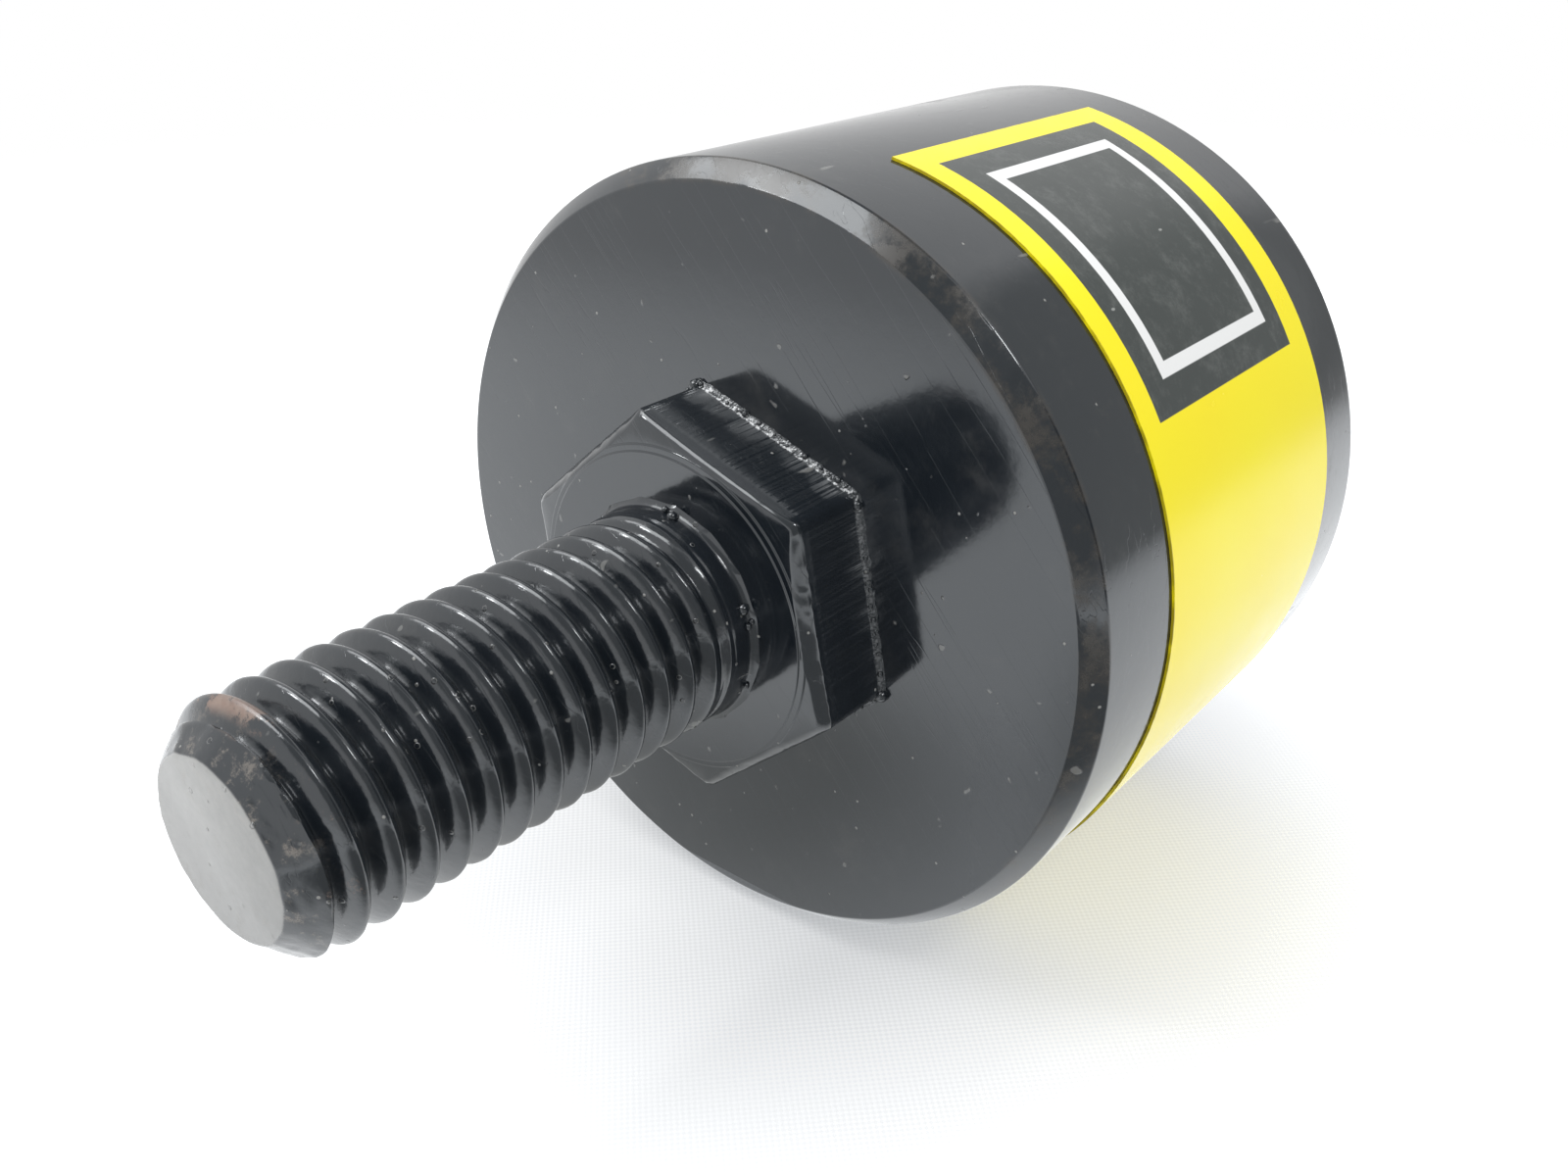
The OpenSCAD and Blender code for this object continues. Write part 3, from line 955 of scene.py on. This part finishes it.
for _ in range(SEAM_DROPS):
    angle = random.uniform(0, math.tau)
    r = hexagon_r(angle) + random.uniform(0.02, 0.20) * MM
    size = random.uniform(0.08, 0.18) * MM
    drop(angle, r, base_z - random.uniform(0.02, 0.22) * MM, size)
for _ in range(SHANK_DROPS):
    angle, size = random.uniform(0, math.tau), random.uniform(0.16, 0.32) * MM
    r = stud_r + 0.2 * MM - size * 0.5
    drop(angle, r, random.uniform(-0.5, 0.0) * MM, size)
for corner in range(6):
    angle = math.radians(90 + 60 * corner) + random.uniform(-0.05, 0.05)
    r = hexagon_r(angle) + 0.10 * MM
    drop(angle, r, base_z - 0.15 * MM, random.uniform(0.28, 0.40) * MM)
piece("paint_drops", drops, stud_paint, "unit", "fixing_stud", sharp=80)

# %% [markdown]
# ## Label
#
# A strip of yellow vinyl, printed with a black square, is wrapped about halfway round the side.
# The print could be a texture laid on with coordinates of its own, but plain rectangles are
# sharper as a formula: the angle round the axis and the height say which colour a point has. The
# panel gets only a plain square line, and the rest stays bare.

# %% Label print
LABEL_START = math.radians(-127.7)
SHARP = 0.03 * MM

vinyl = Finish("printed_vinyl", IOR=1.38)
x, y, z = vinyl.parts()
around = vinyl.math("ARCTAN2", y, x)


def inside(value, low, high, soft):
    """1 where a value lies between low and high, with a soft step at both."""
    return vinyl.times(
        vinyl.ramp(value, low - soft, low + soft), vinyl.ramp(value, high + soft, high - soft)
    )


def rectangle(low, high, start, end):
    """1 inside a rectangle on the wrap, of heights in millimetres and degrees round the axis."""
    turn = inside(around, math.radians(start), math.radians(end), SHARP / housing_r)
    return vinyl.times(inside(z, low * MM, high * MM, SHARP), turn)


panel = rectangle(14.57, 31.0, -123.4, -78.4)
line = vinyl.math(
    "SUBTRACT", rectangle(16.4, 29.2, -118.8, -83.0), rectangle(17.2, 28.4, -116.8, -85.0)
)
print("label print uses", len(vinyl.tree.nodes), "nodes")

# %% [markdown]
# A label that has been handled is never one flat colour. The yellow drifts a little, the black
# panel is greyed by fingers and fine scratches, and a thin, broken brown line darkens the two
# edges that show. Mixing these over the print keeps it readable, where a dirty overall tint would
# dull the yellow as well.

# %% Label wear
tone = vinyl.noise(12 * MM, detail=4)
yellow = vinyl.mixed(tone, colour(1.0, 0.91, 0.006), colour(1.0, 0.80, 0.004))
handled = vinyl.ramp(vinyl.noise(2.5 * MM, detail=9, roughness=0.8), 0.45, 0.75)
scratch_place = vinyl.squeezed((1, 1, 0.45), turn=(0.5, 0.2, 0.9))
scratched = vinyl.spots(1.1 * MM, 0.10 * MM, 0.22, place=scratch_place)
worn_ink = vinyl.math("MAXIMUM", vinyl.times(handled, 0.25), scratched)
ink = vinyl.mixed(worn_ink, colour(0.052, 0.060, 0.058), colour(0.30, 0.31, 0.30))
printed = vinyl.mixed(line, vinyl.mixed(panel, yellow, ink), colour(0.85, 0.86, 0.86))

wobble = vinyl.times(vinyl.math("SUBTRACT", vinyl.noise(1.1 * MM), 0.5), 0.12 * MM)
label_low_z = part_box("label")[0].z
# A thin, broken brown line darkens the low edge and the start edge of the label.
edge_darkening = vinyl.math(
    "MAXIMUM",
    vinyl.ramp(vinyl.plus(z, wobble), label_low_z + 0.08 * MM, label_low_z + 0.01 * MM),
    vinyl.ramp(around, LABEL_START + 0.08 * MM / housing_r, LABEL_START),
)
edge_darkening = vinyl.times(edge_darkening, vinyl.ramp(vinyl.noise(1.5 * MM, detail=5), 0.30, 0.60))
printed_and_edged = vinyl.mixed(vinyl.times(edge_darkening, 0.55), printed, colour(0.10, 0.05, 0.015))
vinyl.coat(printed_and_edged, vinyl.between(vinyl.noise(3 * MM, detail=5), 0.16, 0.32))
vinyl.bumped(vinyl.noise(0.6 * MM), 0.004 * MM, 0.4)
vinyl.bumped(scratched, -0.003 * MM, 0.4)
finished("label", vinyl)

# %% [markdown]
# ## Bearing steel
#
# The load ball is hardened, ground and lapped. Use dulls the mirror a little and leaves faint
# bands, where it rolled over grit. A sphere that keeps the packed size but has more faces lets
# the smooth reflection stay smooth. It is pure metal: the colour is the reflection's tint, and
# the roughness decides everything else.

# %% Load ball
ball_steel = Finish("polished_ball_steel", Metallic=1.0)
rolled = ball_steel.squeezed((0.08, 1, 1), turn=(0.4, 0.3, 0.0))
bands = ball_steel.noise(1.5 * MM, detail=5, place=rolled)
steel = ball_steel.mixed(bands, colour(0.52, 0.52, 0.53), colour(0.64, 0.64, 0.65))
ball_steel.coat(steel, ball_steel.between(bands, 0.18, 0.28))
ball_steel.bumped(ball_steel.noise(0.4 * MM), 0.0006 * MM, 0.4)

ball = bmesh.new()
bmesh.ops.create_uvsphere(ball, u_segments=128, v_segments=64, radius=ball_r)
bmesh.ops.translate(ball, vec=ball_centre, verts=ball.verts)
piece("polished_load_ball", ball, ball_steel, "ball", "load_ball")

# %% [markdown]
# The small balls and the race are hardened steel too. The balls are shiny with patches of old
# oil, and the race is ground, which leaves a finer and duller grain. Both are hidden under the
# ring, so they keep their packed shape, and two noises are enough.

# %% Small balls and race
small_steel = Finish("small_ball_steel", Metallic=1.0)
oily = small_steel.noise(2 * MM, detail=3)
steel = small_steel.mixed(oily, colour(0.48, 0.46, 0.42), colour(0.66, 0.66, 0.66))
small_steel.coat(steel, small_steel.between(oily, 0.06, 0.2))
finished("support_balls", small_steel)

race_steel = Finish("ground_race_steel", Metallic=1.0)
ground = race_steel.noise(0.25 * MM, detail=4, place=race_steel.squeezed((0.3, 0.3, 1)))
steel = race_steel.mixed(ground, colour(0.30, 0.29, 0.28), colour(0.46, 0.46, 0.46))
race_steel.coat(steel, race_steel.between(ground, 0.2, 0.35))
finished("race_cup", race_steel)

# %% [markdown]
# ## Ring, felt and spring ring
#
# The retaining ring is turned steel, so its top shows fine rings that the tool left. Thousands of
# real grooves would be heavy. A sine wave on the distance from the axis, used as a bump, catches
# the light in the same way.

# %% Retaining ring
GROOVE_APART = 0.16 * MM

turned = Finish("turned_ring_steel", Metallic=1.0)
grooves = turned.math("SINE", turned.times(turned.from_axis(), math.tau / GROOVE_APART))
uneven = turned.noise(4 * MM, detail=6, roughness=0.6)
steel = turned.mixed(uneven, colour(0.44, 0.43, 0.41), colour(0.60, 0.60, 0.59))
turned.coat(steel, turned.between(uneven, 0.2, 0.38))
turned.bumped(grooves, 0.004 * MM, 0.6)
finished("retaining_ring", turned)

# %% [markdown]
# The felt next to the ring wipes dust off the ball. Single hairs would be the most lifelike, but
# so little of it shows that a fibrous noise with a deep bump does. The dark spring ring snaps
# into the housing's groove and holds the others in. Its phosphate coat is a dull, fine grain.

# %% Felt and spring ring
felt = Finish("oiled_felt", Roughness=0.95)
fibres = felt.noise(0.35 * MM, detail=6, roughness=0.7, place=felt.squeezed((1, 1, 0.4)))
felt.coat(felt.mixed(fibres, colour(0.10, 0.085, 0.06), colour(0.34, 0.30, 0.23)))
felt.bumped(fibres, 0.2 * MM, 0.8)
finished("felt_wiper", felt)

sprung = Finish("dark_spring_steel", Metallic=1.0)
grain = sprung.noise(0.5 * MM, detail=6, roughness=0.65)
steel = sprung.mixed(grain, colour(0.045, 0.045, 0.05), colour(0.12, 0.12, 0.125))
sprung.coat(steel, sprung.between(grain, 0.28, 0.5))
sprung.bumped(grain, 0.01 * MM, 0.5)
finished("circlip", sprung)

# %% [markdown]
# ## Finish
#
# The colours are shown as they are written, through the plain Standard view. The finish must not
# change the size of the part.

# %% Standard view
bpy.context.scene.view_settings.view_transform = "Standard"
